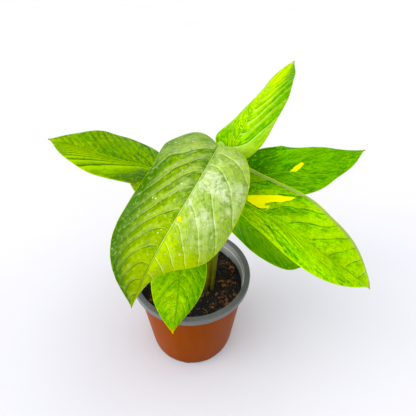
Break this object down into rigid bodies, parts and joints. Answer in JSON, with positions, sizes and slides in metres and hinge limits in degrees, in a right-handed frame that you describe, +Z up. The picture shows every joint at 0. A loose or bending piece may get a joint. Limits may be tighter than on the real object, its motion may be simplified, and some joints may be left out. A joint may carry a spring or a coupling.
{
  "type": "potted prayer plant",
  "caption": "Broad-leaved foliage plant with long stalks, standing in a two-tone nursery pot filled with bark-flecked potting mix.",
  "frame": {"origin": "middle of the pot's foot, on the surface it stands on", "axes": "+Z up; -Y towards the viewer of the reference view; +X to the viewer's right"},
  "size_m": [0.3025, 0.2384, 0.2801],
  "materials": {
    "pot_shell": "semi-matte terracotta-coloured polypropylene, grey on the lip and inside",
    "potting_mix": "moist dark peat and bark mix, matte",
    "leaf": "waxy green leaf with pale veins and yellow patches"
  },
  "bodies": {
    "root": {"pot": "pot_shell", "soil": "potting_mix", "leaf_front": "leaf", "leaf_front_low": "leaf", "leaf_left": "leaf", "leaf_upright": "leaf", "leaf_right_high": "leaf", "leaf_right": "leaf", "leaf_back_right": "leaf", "leaf_right_low": "leaf", "leaf_back_left": "leaf"}
  },
  "joints": []
}
